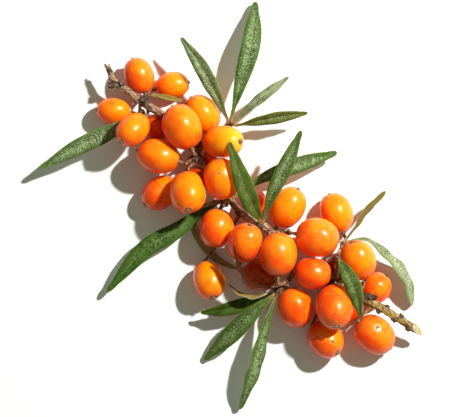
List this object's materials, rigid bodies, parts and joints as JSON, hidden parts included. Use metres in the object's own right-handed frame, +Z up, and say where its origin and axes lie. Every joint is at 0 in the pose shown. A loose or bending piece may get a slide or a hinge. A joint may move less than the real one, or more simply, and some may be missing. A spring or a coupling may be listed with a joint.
{
  "type": "sea buckthorn sprig",
  "caption": "Cut sea buckthorn sprig lying on its side: a thin knobbly twig crowded with oval orange berries, with tufts of narrow grey-green leaves.",
  "frame": {"origin": "middle of the sprig's footprint, on the surface that the lowest berries rest on", "axes": "+X along the twig from its thin forked tip towards its cut end, +Y across the twig towards the upper tuft of leaves, +Z up"},
  "size_m": [0.104, 0.0804, 0.0163],
  "materials": {
    "bark": "rough grey-brown bark, reddish on young shoots, pale cut wood",
    "berry_skin": "smooth glossy orange skin with faint pale dots and scattered rusty scales",
    "leaf_green": "satin grey-green with a fine silvery scurf and a paler midrib"
  },
  "bodies": {
    "root": {"stem": "bark", "berry_01": "berry_skin", "berry_02": "berry_skin", "berry_03": "berry_skin", "berry_04": "berry_skin", "berry_05": "berry_skin", "berry_06": "berry_skin", "berry_07": "berry_skin", "berry_08": "berry_skin", "berry_09": "berry_skin", "berry_10": "berry_skin", "berry_11": "berry_skin", "berry_12": "berry_skin", "berry_13": "berry_skin", "berry_14": "berry_skin", "berry_15": "berry_skin", "berry_16": "berry_skin", "berry_17": "berry_skin", "berry_18": "berry_skin", "berry_19": "berry_skin", "berry_20": "berry_skin", "berry_21": "berry_skin", "berry_22": "berry_skin", "berry_23": "berry_skin", "berry_24": "berry_skin", "berry_25": "berry_skin", "berry_26": "berry_skin", "berry_27": "berry_skin", "berry_28": "berry_skin", "berry_29": "berry_skin", "berry_30": "berry_skin", "berry_31": "berry_skin", "berry_32": "berry_skin", "berry_33": "berry_skin", "leaf_01": "leaf_green", "leaf_02": "leaf_green", "leaf_03": "leaf_green", "leaf_04": "leaf_green", "leaf_05": "leaf_green", "leaf_06": "leaf_green", "leaf_07": "leaf_green", "leaf_08": "leaf_green", "leaf_09": "leaf_green", "leaf_10": "leaf_green", "leaf_11": "leaf_green", "leaf_12": "leaf_green", "leaf_13": "leaf_green", "leaf_14": "leaf_green", "leaf_15": "leaf_green", "leaf_16": "leaf_green", "leaf_17": "leaf_green", "leaf_18": "leaf_green", "leaf_19": "leaf_green"}
  },
  "joints": []
}
